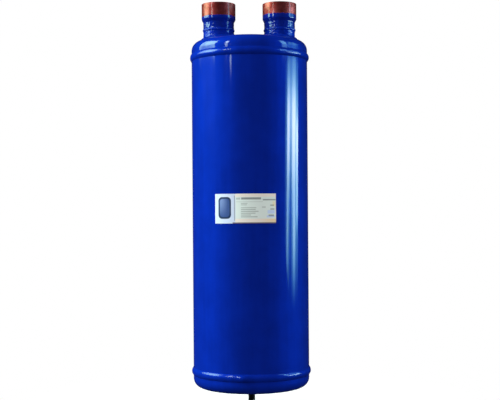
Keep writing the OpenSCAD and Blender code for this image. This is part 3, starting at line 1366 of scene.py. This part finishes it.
@dataclass
class Vessel:
    """The painted body: tube, both heads and both girth welds.

    Attributes:
        body: Sizes of the tube and the heads.
        weld_width: Width of a girth weld's cap.
        weld_proud: How far the cap stands out.
        top_stop: Angle at which the top weld closes on itself.
        bottom_stop: Angle at which the bottom weld does.
        stop_height: Height of the lump there.
    """

    body: BodySizes = BodySizes()
    weld_width: float = 8.5 * MM
    weld_proud: float = 1.8 * MM
    top_stop: float = math.radians(110.0)
    bottom_stop: float = math.radians(263.0)
    stop_height: float = 1.3 * MM

    def dress(self) -> None:
        """Paints tube and heads, bare inside."""
        coat_node("shell_tube", BluePaint(wall=Wall.TUBE, body=self.body).material("tube_paint"))
        for wall in (Wall.TOP_HEAD, Wall.BOTTOM_HEAD):
            coat_node(wall.value, BluePaint(wall=wall, body=self.body).material(f"{wall.value}_paint"))

    def build(self, ripples: WeldRipples, material: bpy.types.Material) -> None:
        """Makes both girth welds.

        Args:
            ripples: Tree that draws the waves.
            material: The beads' finish.
        """
        body = self.body
        for place, level, stop in (
            ("top", body.tube_high + body.root / 2, self.top_stop),
            ("bottom", body.tube_low - body.root / 2, self.bottom_stop),
        ):
            Bead(
                f"{place}_weld_bead",
                f"{place}_girth_weld",
                wall=body.radius,
                level=level,
                width=self.weld_width,
                proud=self.weld_proud,
                gap=body.root,
                depth=body.wall,
                stop=stop,
                stop_height=self.stop_height,
            ).build(ripples, material)


@dataclass
class Connection:
    """One connection: steel nipple, its weld, the braze and the copper socket.

    Attributes:
        name: Which connection it is.
        side: Side of the vessel's axis on which it stands, -1 or 1.
        paint_line: Height up to which the copper is painted.
        body: Sizes of the vessel.
        spacing: Distance between the two connections' axes.
        neck: Outside radius of the nipple and of the copper neck on it.
        nipple_wall: Wall of the nipple.
        nipple_drop: Depth of its lower end below the head's apex.
        nipple_rise: Height of its upper end above the apex.
        weld_leg: Leg of its fillet weld.
        braze_gap: Width of the braze's root.
        braze_width: Width of the braze's cap.
        braze_proud: How far the cap stands out.
        braze_pitch: Distance from wave to wave of the braze.
        braze_waves: Height of its waves.
        copper_wall: Wall of the copper.
        copper_neck: Straight neck below the cone.
        copper_bend: Radius of the bends at the cone.
        cone: Height of the cone between neck and socket.
        socket_bore: Radius of the socket's bore.
        socket_depth: Depth of the bore.
        edge: Rounding of the pipes' ends.
        dent: Height of the dents in the skin.
        dent_scale: Scale of the dents.
        fade: Height over which the dents fade out.
        step: Longest side of a section.
        around: Number of places round the axis.
    """

    name: str
    side: float
    paint_line: float
    body: BodySizes = BodySizes()
    spacing: float = 67.0 * MM
    neck: float = 16.85 * MM
    nipple_wall: float = 3.2 * MM
    nipple_drop: float = 12.0 * MM
    nipple_rise: float = 7.3 * MM
    weld_leg: float = 4.0 * MM
    braze_gap: float = 1.0 * MM
    braze_width: float = 3.2 * MM
    braze_proud: float = 0.7 * MM
    braze_pitch: float = 1.9 * MM
    braze_waves: float = 0.3 * MM
    copper_wall: float = 1.05 * MM
    copper_neck: float = 7.9 * MM
    copper_bend: float = 3.0 * MM
    cone: float = 3.4 * MM
    socket_bore: float = 17.55 * MM
    socket_depth: float = 17.0 * MM
    edge: float = 0.3 * MM
    dent: float = 0.42 * MM
    dent_scale: float = 300.0
    fade: float = 1.5 * MM
    step: float = 0.5 * MM
    around: int = 220

    @property
    def axis(self) -> Point:
        """Where the connection's axis stands."""
        return (self.side * self.spacing / 2, 0.0)

    @property
    def nipple_high(self) -> float:
        """Height of the nipple's upper end."""
        return self.body.apex + self.nipple_rise

    def turned(
        self,
        name: str,
        outline: list[Point],
        uneven_below: float,
        skin: UnevenSkin,
        material: bpy.types.Material,
    ) -> bpy.types.Object:
        """Turns an outline into a piece with a dented skin below a height.

        Args:
            name: The piece's name.
            outline: Closed outline of the section.
            uneven_below: Height below which the outer skin is dented.
            skin: Tree that dents a skin.
            material: The piece's finish.

        Returns:
            The piece.
        """
        section = dense(outline, self.step)
        rings = lathe(section, self.around, self.axis)
        outer = section[:, 0] > self.neck - self.edge
        share = np.clip((uneven_below - section[:, 1]) / self.fade, 0.0, 1.0)
        piece = ring_piece(name, rings, {"uneven": np.broadcast_to(outer * share, rings.shape[:2])})
        skin.apply(piece, {"Height": self.dent, "Scale": self.dent_scale, "Material": material})
        return piece

    def build(self, ripples: WeldRipples, skin: UnevenSkin, paint: bpy.types.Material) -> None:
        """Makes the connection's pieces and puts them in the places of their nodes.

        Args:
            ripples: Tree that draws weld waves.
            skin: Tree that dents a skin.
            paint: Finish of the steel pieces.
        """
        self.build_nipple(skin, paint)
        Fillet(
            f"{self.name}_fillet",
            f"{self.name}_nipple_weld",
            wall=self.neck,
            leg=self.weld_leg,
            apex=self.body.apex,
            up=1.0,
            crown=self.body.crown,
            axis=self.axis,
        ).build(ripples, paint)
        Bead(
            f"{self.name}_braze",
            f"{self.name}_braze_ring",
            wall=self.neck,
            level=self.nipple_high + self.braze_gap / 2,
            width=self.braze_width,
            proud=self.braze_proud,
            gap=self.braze_gap,
            depth=self.copper_wall,
            axis=self.axis,
            pitch=self.braze_pitch,
            height=self.braze_waves,
        ).build(ripples, paint)
        self.build_socket(skin)

    def build_nipple(self, skin: UnevenSkin, paint: bpy.types.Material) -> None:
        """Makes the steel nipple.

        Args:
            skin: Tree that dents a skin.
            paint: Its finish.
        """
        bore = self.neck - self.nipple_wall
        low, high = self.body.apex - self.nipple_drop, self.nipple_high
        outline = rounded(
            [(bore, low), (self.neck, low), (self.neck, high), (bore, high)], (self.edge,) * 4, 3
        )
        nipple = self.turned(f"{self.name}_pipe", outline, high + 2 * MM, skin, paint)
        settle(nipple, "blue_paint", f"{self.name}_nipple")

    def build_socket(self, skin: UnevenSkin) -> None:
        """Makes the copper socket with its paint line.

        Args:
            skin: Tree that dents a skin.
        """
        low = self.nipple_high + self.braze_gap
        cone_low = low + self.copper_neck
        cone_high = cone_low + self.cone
        top = cone_high + self.socket_depth
        inner, outer = self.neck - self.copper_wall, self.socket_bore + self.copper_wall
        bend, edge = self.copper_bend, self.edge
        outline = rounded(
            [
                (inner, low),
                (self.neck, low),
                (self.neck, cone_low),
                (outer, cone_high),
                (outer, top),
                (self.socket_bore, top),
                (self.socket_bore, cone_high),
                (inner, cone_low),
            ],
            (0.0, 0.0, bend, bend, edge, edge, bend, bend),
        )
        copper = PaintedCopper(self.paint_line).material(f"{self.name}_painted_copper")
        socket = self.turned(f"{self.name}_copper", outline, cone_low + MM, skin, copper)
        settle(socket, "copper", f"{self.name}_socket")


@dataclass
class MountingStud:
    """The threaded weld stud under the bottom head, with its collar and weld.

    Attributes:
        body: Sizes of the vessel.
        radius: Outside radius of the thread.
        length: Free length below the collar.
        chamfer: Chamfer at the end.
        collar: Radius of the collar.
        edge: Chamfer of the collar.
        pitch: Pitch of the thread.
        depth: Depth of the thread.
        lead: Length over which the thread begins.
        runout: Length over which it ends at the collar.
        rows: Rows of points for each pitch.
        around: Number of places round the axis.
        weld_leg: Leg of the fillet weld.
        weld_pitch: Distance from wave to wave of the weld.
        weld_waves: Height of its waves.
    """

    body: BodySizes = BodySizes()
    radius: float = 4.0 * MM
    length: float = 18.0 * MM
    chamfer: float = 1.0 * MM
    collar: float = 6.0 * MM
    edge: float = 0.3 * MM
    pitch: float = 1.25 * MM
    depth: float = 0.767 * MM
    lead: float = 0.4 * MM
    runout: float = 1.2 * MM
    rows: int = 16
    around: int = 72
    weld_leg: float = 1.5 * MM
    weld_pitch: float = 1.5 * MM
    weld_waves: float = 0.14 * MM

    def build(self, thread: ScrewThread, ripples: WeldRipples, paint: bpy.types.Material) -> None:
        """Makes the stud and its weld and puts them in the places of their nodes.

        Args:
            thread: Tree that cuts the thread.
            ripples: Tree that draws weld waves.
            paint: Finish of the weld.
        """
        crown, stand = self.body.crown, self.body.stand
        collar_top = stand + crown - math.sqrt(crown**2 - self.collar**2)
        thread_low = self.chamfer - self.length
        section = np.array([
            (0.0, -self.length),
            (self.radius - self.chamfer, -self.length),
            *[(self.radius, z) for z in np.arange(thread_low, 0.0, self.pitch / self.rows)],
            (self.radius, 0.0),
            (self.collar - self.edge, 0.0),
            (self.collar, self.edge),
            (self.collar, collar_top),
            (0.0, stand),
        ])
        start = (section[:, 1] - thread_low) / self.lead
        end = -section[:, 1] / self.runout
        threaded = np.clip(np.minimum(start, end), 0.0, 1.0) * (section[:, 0] == self.radius)
        rings = lathe(section, self.around)
        numbers = {"threaded": np.broadcast_to(threaded, rings.shape[:2])}
        piece = ring_piece("threaded_stud", rings, numbers, wrapped=False)
        steel = DarkTopSteel().material("dark_top_steel")
        thread.apply(piece, {"Pitch": self.pitch, "Depth": self.depth, "Material": steel})
        settle(piece, "stud_steel", "mounting_stud")
        Fillet(
            "stud_fillet",
            "stud_weld",
            wall=self.collar,
            leg=self.weld_leg,
            apex=stand,
            up=-1.0,
            crown=crown,
            pitch=self.weld_pitch,
            height=self.weld_waves,
        ).build(ripples, paint)


@dataclass
class RatingLabel:
    """The printed film on the body's front.

    Attributes:
        body: Sizes of the vessel.
        width: Width along the body's curve.
        height: Height of the film.
        thick: Thickness of the film.
        glue: Thickness of the adhesive below it.
        turn: Turn of its middle to the right of the front.
        lift: Height of its middle above the body tube's middle.
        columns: Faces along the width.
        levels: Faces along the height.
    """

    body: BodySizes = BodySizes()
    width: float = 66.6 * MM
    height: float = 31.0 * MM
    thick: float = 0.2 * MM
    glue: float = 0.1 * MM
    turn: float = math.radians(-5.3)
    lift: float = 6.0 * MM
    columns: int = 72
    levels: int = 10

    def build(self) -> None:
        """Makes the film, its edges and its print's own map, and puts it in the place of its node."""
        columns, levels = self.columns, self.levels
        inner = self.body.radius + self.glue
        middle = (self.body.tube_low + self.body.tube_high) / 2 + self.lift
        mesh = bpy.data.meshes.new("label_film")
        work = bmesh.new()
        layer = work.loops.layers.uv.new("print")
        grid: dict[tuple[int, int, int], bmesh.types.BMVert] = {}
        for i in range(columns + 1):
            angle = -math.pi / 2 + self.turn + self.width / self.body.radius * (i / columns - 0.5)
            for j in range(levels + 1):
                z = middle + self.height * (j / levels - 0.5)
                for side, radius in enumerate((inner, inner + self.thick)):
                    place = (radius * math.cos(angle), radius * math.sin(angle), z)
                    grid[side, i, j] = work.verts.new(place)
        spot = {v: (i / columns, j / levels) for (_, i, j), v in grid.items()}

        def face(*corners: tuple[int, int, int]) -> None:
            """Adds one face with its print map.

            Args:
                corners: Side, column and level of each corner.
            """
            made = work.faces.new([grid[c] for c in corners])
            made.smooth = True
            for loop in made.loops:
                loop[layer].uv = spot[loop.vert]

        for i in range(columns):
            for j in range(levels):
                face((1, i, j), (1, i + 1, j), (1, i + 1, j + 1), (1, i, j + 1))
                face((0, i, j + 1), (0, i + 1, j + 1), (0, i + 1, j), (0, i, j))
            face((0, i, 0), (0, i + 1, 0), (1, i + 1, 0), (1, i, 0))
            face((1, i, levels), (1, i + 1, levels), (0, i + 1, levels), (0, i, levels))
        for j in range(levels):
            face((1, 0, j), (1, 0, j + 1), (0, 0, j + 1), (0, 0, j))
            face((0, columns, j), (0, columns, j + 1), (1, columns, j + 1), (1, columns, j))
        work.to_mesh(mesh)
        work.free()
        mesh.set_sharp_from_angle(angle=SHARP_ANGLE)
        mesh.materials.append(PrintedFilm(self.width / MM, self.height / MM).material("printed_film"))
        settle(add_object("label_film", mesh), "label_film", "rating_label")


@dataclass
class InnerPieces:
    """What the vessel holds inside: deflector, U tube, oil return and brace."""

    steel_nodes: Sequence[str] = ("inlet_deflector", "u_tube", "screen_collar", "u_tube_brace", "brace_weld")

    def dress(self) -> None:
        """Gives the inner nodes their metals."""
        steel = BareSteel().material("bare_steel_grain")
        for node in self.steel_nodes:
            coat_node(node, steel)
        coat_node("oil_orifice", TurnedBrass().material("turned_brass"))
        low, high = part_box("oil_screen")
        middle = (low + high) / 2
        coat_node("oil_screen", ScreenWire((middle.x, middle.y)).material("screen_wire"))


class Light(Enum):
    """What a lamp does: it is mirrored in the gloss, or it lights the colour below the gloss."""

    MIRRORED = "mirrored"
    WASH = "wash"


@dataclass(frozen=True)
class Lamp:
    """A softbox that faces the vessel's axis, with its own glow over height and width.

    Attributes:
        name: The lamp's name.
        light: What the lamp does.
        azimuth: Degrees round the axis, 0 at the camera and 90 on its right.
        distance: Metres from the axis.
        width: Metres from side to side.
        low: Height of the lower edge.
        high: Height of the upper edge.
        radiance: Brightness where the share is 1.
        lean: Degrees by which the lamp is turned in its own plane.
        levels: Heights and shares of the brightness, from low to high.
        bars: Dark upright bars: place over the width, half width, and depth by height.
        tint: Colour where the lamp is bright.
        shade: Colour where it is dim, or None for the same colour.
    """

    name: str
    light: Light
    azimuth: float
    distance: float
    width: float
    low: float
    high: float
    radiance: float
    lean: float = 0.0
    levels: Sequence[Point] = ((0.0, 1.0),)
    bars: Sequence[tuple[float, float, Sequence[Point]]] = ()
    tint: Colour = (0.8, 1.0, 0.95)
    shade: Colour | None = None

    @staticmethod
    def curve(height: Signal, points: Sequence[Point]) -> Number:
        """A value that changes smoothly with height.

        Args:
            height: Height in metres.
            points: Heights and values, from low to high.

        Returns:
            The value at that height.
        """
        value: Number = points[0][1]
        for (low, before), (high, after) in zip(points, points[1:]):
            value = value + height.rise(low, high) * (after - before)
        return value

    def glow(self, graph: Graph) -> Number:
        """How bright the lamp's face is at each place.

        Args:
            graph: Where its nodes go.

        Returns:
            A share of the full radiance: levels by height, less the dark bars over the width.
        """
        across, up, _ = graph.split(graph.node("ShaderNodeNewGeometry")["Parametric"])
        lean = math.radians(self.lean)
        height = (
            (up - 0.5) * ((self.high - self.low) * math.cos(lean))
            + (across - 0.5) * (self.width * math.sin(lean))
            + (self.low + self.high) / 2
        )
        share = self.curve(height, self.levels)
        for place, half, depths in self.bars:
            inside = 1.0 - (abs(across - place) / half).rise(0.4, 1.0)
            share = share * (1.0 - inside * self.curve(height, depths))
        return share

    def build(self) -> None:
        """Makes the lamp at its place, turned to the axis."""
        angle = math.radians(self.azimuth)
        out = Vector((math.sin(angle), -math.cos(angle), 0.0))
        height = self.high - self.low
        data = bpy.data.lights.new(self.name, "AREA")
        data.shape = "RECTANGLE"
        data.size, data.size_y = self.width, height
        data.energy = self.radiance * math.pi * self.width * height
        graph = Graph.of(data)
        share = self.glow(graph)
        tone = graph.blend((0.0, 0.0, 0.0), graph.blend(self.shade or self.tint, self.tint, share), share)
        face = graph.node("ShaderNodeEmission", None, {"Color": tone, "Strength": 1.0})
        graph.node("ShaderNodeOutputLight", None, {"Surface": face["Emission"]})
        lamp = add_object(self.name, data)
        up = Vector((0.0, 0.0, 1.0))
        side = up.cross(out)
        place = Matrix((
            (side.x, up.x, out.x, out.x * self.distance),
            (side.y, up.y, out.y, out.y * self.distance),
            (side.z, up.z, out.z, (self.low + self.high) / 2),
            (0.0, 0.0, 0.0, 1.0),
        ))
        lamp.matrix_world = place @ Matrix.Rotation(math.radians(self.lean), 4, "Z")
        lamp.visible_camera = False
        lamp.visible_glossy = self.light is Light.MIRRORED
        lamp.visible_diffuse = self.light is Light.WASH


@dataclass
class Studio:
    """Camera, soft lamps, a dark room for the reflections, a white surround and a pale floor.

    Attributes:
        eye: Where the camera stands.
        lens: Its focal length.
        sensor: Width of its sensor.
        shift_up: Its shift, as a share of the sensor's width.
        roll: Its turn about its own axis.
        fill_above: Brightness of the surround from above.
        fill_below: Brightness of the surround from below.
        floor_at: Height of the floor.
        floor_radius: Radius of the floor.
        floor_clear: How far the floor fades into the surround in its middle.
        room_radius: Radius of the dark room.
        room_tone: Colour of its wall.
        lamps: All lamps.
    """

    eye: tuple[float, float, float] = (-0.0004, -1.15, 0.1999)
    lens: float = 75.15
    sensor: float = 36.0
    shift_up: float = 0.0212
    roll: float = math.radians(-0.4)
    fill_above: float = 1.12
    fill_below: float = 0.2
    floor_at: float = CAD_BOX[0].z
    floor_radius: float = 0.3
    floor_clear: float = 0.35
    room_radius: float = 6.0
    room_tone: Colour = (0.012, 0.012, 0.014)
    lamps: Sequence[Lamp] = (
        Lamp(
            "left_wash",
            Light.WASH,
            azimuth=-93.0,
            distance=2.9,
            width=2.2,
            low=0.5,
            high=2.8,
            radiance=18.0,
        ),
        Lamp(
            "right_wash",
            Light.WASH,
            azimuth=96.0,
            distance=2.9,
            width=1.6,
            low=0.0,
            high=1.6,
            radiance=4.0,
        ),
        Lamp(
            "left_softbox",
            Light.MIRRORED,
            azimuth=-93.0,
            distance=2.4,
            width=1.96,
            low=0.7,
            high=2.4,
            radiance=13.0,
            levels=((0.71, 0.0), (0.79, 0.78), (1.0, 0.78), (1.3, 1.0)),
            bars=((0.1, 0.4, ((0.0, 0.45),)),),
            tint=(0.6, 1.0, 0.6),
        ),
        Lamp(
            "right_softbox",
            Light.MIRRORED,
            azimuth=93.0,
            distance=2.4,
            width=1.46,
            low=-0.25,
            high=1.6,
            radiance=16.8,
            lean=-22.0,
            levels=(
                (-0.13, 0.0),
                (0.15, 0.6),
                (0.22, 0.62),
                (0.47, 1.0),
                (0.52, 1.0),
                (0.69, 0.3),
                (0.72, 0.07),
                (0.8, 0.12),
                (1.3, 0.17),
            ),
            bars=(
                (0.04, 0.145, ((0.1, 0.92), (0.5, 0.84))),
                (0.3, 0.13, ((0.1, 0.6), (0.4, 0.0))),
                (0.41, 0.12, ((0.1, 0.88), (0.7, 0.33))),
                (0.52, 0.12, ((0.1, 0.6), (0.35, 0.0))),
                (0.8, 0.06, ((0.1, 0.0), (0.22, 0.5), (0.45, 0.4), (0.56, 0.0))),
                (0.93, 0.22, ((0.1, 0.74), (0.22, 0.15), (0.45, 0.1), (0.56, 0.6), (0.7, 0.68))),
            ),
            shade=(0.2, 1.0, 1.0),
        ),
        Lamp(
            "right_window",
            Light.MIRRORED,
            azimuth=73.0,
            distance=2.5,
            width=0.5,
            low=0.7,
            high=2.2,
            radiance=8.0,
            levels=((0.72, 0.0), (0.8, 1.0)),
            tint=(0.3, 0.8, 1.0),
        ),
        Lamp(
            "front_strip",
            Light.MIRRORED,
            azimuth=-36.3,
            distance=2.0,
            width=0.11,
            low=0.54,
            high=0.66,
            radiance=7.5,
            levels=((0.585, 0.0), (0.6, 0.13), (0.615, 0.4), (0.637, 1.0)),
        ),
        Lamp(
            "front_window",
            Light.MIRRORED,
            azimuth=-45.0,
            distance=2.1,
            width=0.2,
            low=0.7,
            high=1.7,
            radiance=15.0,
        ),
    )

    def make_camera(self) -> None:
        """Makes the camera at the photograph's place."""
        data = bpy.data.cameras.new("camera")
        data.lens = self.lens
        data.sensor_width = self.sensor
        data.shift_y = self.shift_up
        camera = add_object("camera", data)
        camera.matrix_world = (
            Matrix.Translation(self.eye)
            @ Matrix.Rotation(math.pi / 2, 4, "X")
            @ Matrix.Rotation(self.roll, 4, "Z")
        )
        bpy.context.scene.camera = camera

    def seen(self, graph: Graph) -> Signal:
        """Picks the rays that show the surround.

        Args:
            graph: Where its nodes go.

        Returns:
            1 for rays from the camera, in gloss and through glass, else 0.
        """
        path = graph.node("ShaderNodeLightPath")
        return (path["Is Camera Ray"] + path["Is Glossy Ray"] + path["Is Transmission Ray"]).least(1.0)

    def make_surround(self) -> None:
        """Makes the white surround, which lights the object only dimly."""
        world = bpy.data.worlds.new("surround")
        bpy.context.scene.world = world
        graph = Graph.of(world)
        _, _, up = graph.split(graph.place())
        tone = graph.blend((self.fill_below,) * 3, (self.fill_above,) * 3, up.rise(-0.6, 0.6))
        dim = graph.node("ShaderNodeBackground", None, {"Color": tone, "Strength": 1.0})
        white = graph.node("ShaderNodeBackground", None, {"Color": (1.0, 1.0, 1.0), "Strength": 1.0})
        mixed = graph.node(
            "ShaderNodeMixShader", None, {0: self.seen(graph), 1: dim["Background"], 2: white["Background"]}
        )
        graph.node("ShaderNodeOutputWorld", None, {"Surface": mixed["Shader"]})

    def make_room(self) -> None:
        """Makes the dark room that the gloss paint mirrors."""
        mesh = bpy.data.meshes.new("dark_room")
        work = bmesh.new()
        bmesh.ops.create_uvsphere(work, u_segments=48, v_segments=24, radius=self.room_radius)
        bmesh.ops.reverse_faces(work, faces=work.faces)
        work.to_mesh(mesh)
        work.free()
        room = add_object("dark_room", mesh)
        material = bpy.data.materials.new("dark_wall")
        graph = Graph.of(material)
        wall = graph.node("ShaderNodeEmission", None, {"Color": self.room_tone, "Strength": 1.0})
        graph.node("ShaderNodeOutputMaterial", None, {"Surface": wall["Emission"]})
        mesh.materials.append(material)
        room.visible_camera = room.visible_diffuse = room.visible_shadow = False
        room.visible_transmission = False

    def make_floor(self) -> None:
        """Makes the pale floor, which fades into the surround."""
        mesh = bpy.data.meshes.new("floor")
        work = bmesh.new()
        bmesh.ops.create_circle(work, cap_ends=True, segments=96, radius=self.floor_radius)
        bmesh.ops.translate(work, verts=work.verts, vec=(0.0, 0.0, self.floor_at))
        work.to_mesh(mesh)
        work.free()
        floor = add_object("floor", mesh)
        material = bpy.data.materials.new("pale_floor")
        graph = Graph.of(material)
        place = graph.place()
        x, y, _ = graph.split(place)
        below = graph.node("ShaderNodeNewGeometry")["Backfacing"]
        reach = (x * x + y * y).root().rise(0.0, self.floor_radius * 0.95)
        fade = (reach * (1.0 - self.floor_clear) + self.floor_clear).most(below)
        tone = graph.blend((0.86, 0.86, 0.87), (0.9, 0.9, 0.9), graph.noise(place, 400.0, 2.0))
        pale = graph.node("ShaderNodeBsdfDiffuse", None, {"Color": tone})
        clear = graph.node("ShaderNodeBsdfTransparent")
        mixed = graph.node("ShaderNodeMixShader", None, {0: fade, 1: pale["BSDF"], 2: clear["BSDF"]})
        graph.node("ShaderNodeOutputMaterial", None, {"Surface": mixed["Shader"]})
        mesh.materials.append(material)
        floor.visible_glossy = floor.visible_diffuse = False

    def build(self) -> None:
        """Makes what surrounds the object."""
        bpy.context.scene.view_settings.view_transform = "Standard"
        self.make_surround()
        self.make_room()
        self.make_floor()
        for lamp in self.lamps:
            lamp.build()


def main() -> None:
    """Builds the studio and dresses the part."""
    logging.basicConfig(level=logging.INFO, format="%(message)s")
    studio = Studio()
    studio.make_camera()
    ripples, thread, skin = WeldRipples(), ScrewThread(), UnevenSkin()
    paint = BluePaint(clear=0.65, gloss=0.08, peel=0.009 * MM).material("bead_paint")
    vessel = Vessel()
    vessel.dress()
    vessel.build(ripples, paint)
    for connection in (
        Connection("inlet", side=-1.0, paint_line=412.8 * MM),
        Connection("outlet", side=1.0, paint_line=414.2 * MM),
    ):
        connection.build(ripples, skin, paint)
    MountingStud().build(thread, ripples, paint)
    RatingLabel().build()
    InnerPieces().dress()
    studio.build()


if __name__ == "__main__":
    main()
